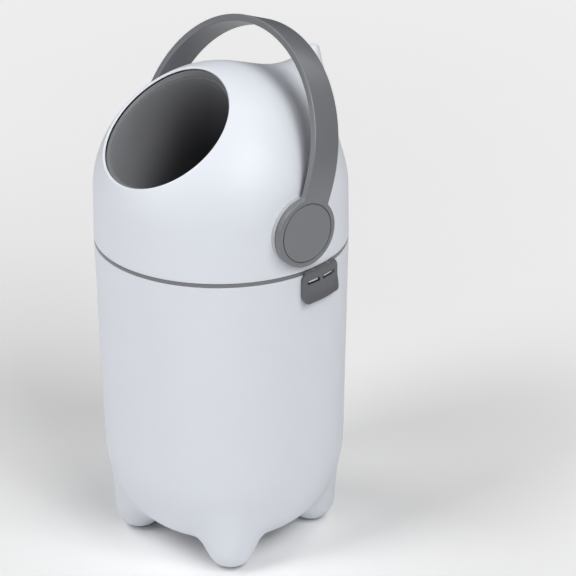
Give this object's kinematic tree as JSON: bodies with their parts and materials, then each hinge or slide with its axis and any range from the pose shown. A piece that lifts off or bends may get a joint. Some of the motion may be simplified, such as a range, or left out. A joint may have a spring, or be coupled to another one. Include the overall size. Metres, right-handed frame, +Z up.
{
  "type": "nappy bin",
  "caption": "Round plastic nappy bin on moulded feet, with a lift-off domed head, slanted mouth, turning drum worked by the carrying handle, and side clips.",
  "frame": {"origin": "on the floor, under the centre of the round body", "axes": "+Z up, the slanted mouth faces -Y, the drum and handle turn about an axis along +X"},
  "size_m": [0.264, 0.2546, 0.5364],
  "materials": {
    "shell_white": "white moulded plastic with a fine satin grain",
    "trim_grey": "mid grey moulded plastic with a fine matt grain",
    "drum_grey": "smooth mid grey moulded plastic",
    "seal_rubber": "soft dark grey seal",
    "foot_rubber": "soft pale foot pad",
    "natural_plastic": "natural low-friction plastic",
    "screw_steel": "zinc plated steel"
  },
  "bodies": {
    "bin": {"bin_body": "shell_white", "foot_pad_1": "foot_rubber", "foot_pad_2": "foot_rubber", "foot_pad_3": "foot_rubber", "foot_pad_4": "foot_rubber", "bag_ring": "trim_grey"},
    "lid": {"dome_cover": "shell_white", "base_ring": "trim_grey", "drum_seat": "trim_grey", "drum_seal": "seal_rubber", "opening_seal": "drum_grey", "rim_seal": "seal_rubber", "hub_bush_right": "natural_plastic", "hub_bush_left": "natural_plastic", "seat_screw_1": "screw_steel", "seat_screw_2": "screw_steel", "seat_screw_3": "screw_steel", "seat_screw_4": "screw_steel", "clip_pin_right": "screw_steel", "clip_pin_left": "screw_steel"},
    "drum": {"handle": "trim_grey", "drum_ball": "drum_grey", "drum_cup": "drum_grey", "axle_right": "natural_plastic", "axle_left": "natural_plastic", "axle_screw_right": "screw_steel", "axle_screw_left": "screw_steel", "hub_cap_right": "trim_grey", "hub_cap_left": "trim_grey"},
    "clip_right": {"clip_right": "trim_grey"},
    "clip_left": {"clip_left": "trim_grey"}
  },
  "joints": [
    {"name": "lid_lift", "type": "slide", "parent": "bin", "child": "lid", "axis": [0, 0, 1], "range_m": [0, 0.13]},
    {"name": "drum_turn", "type": "hinge", "parent": "lid", "child": "drum", "pos_m": [0, 0, 0.3688], "axis": [1, 0, 0], "range_deg": [0, 138]},
    {"name": "clip_open_right", "type": "hinge", "parent": "lid", "child": "clip_right", "pos_m": [0.12481, 0.02268, 0.32505], "axis": [0.1788, -0.9839, 0], "range_deg": [0, 70]},
    {"name": "clip_open_left", "type": "hinge", "parent": "lid", "child": "clip_left", "pos_m": [-0.12481, -0.02268, 0.32505], "axis": [-0.1788, 0.9839, 0], "range_deg": [0, 70]}
  ]
}
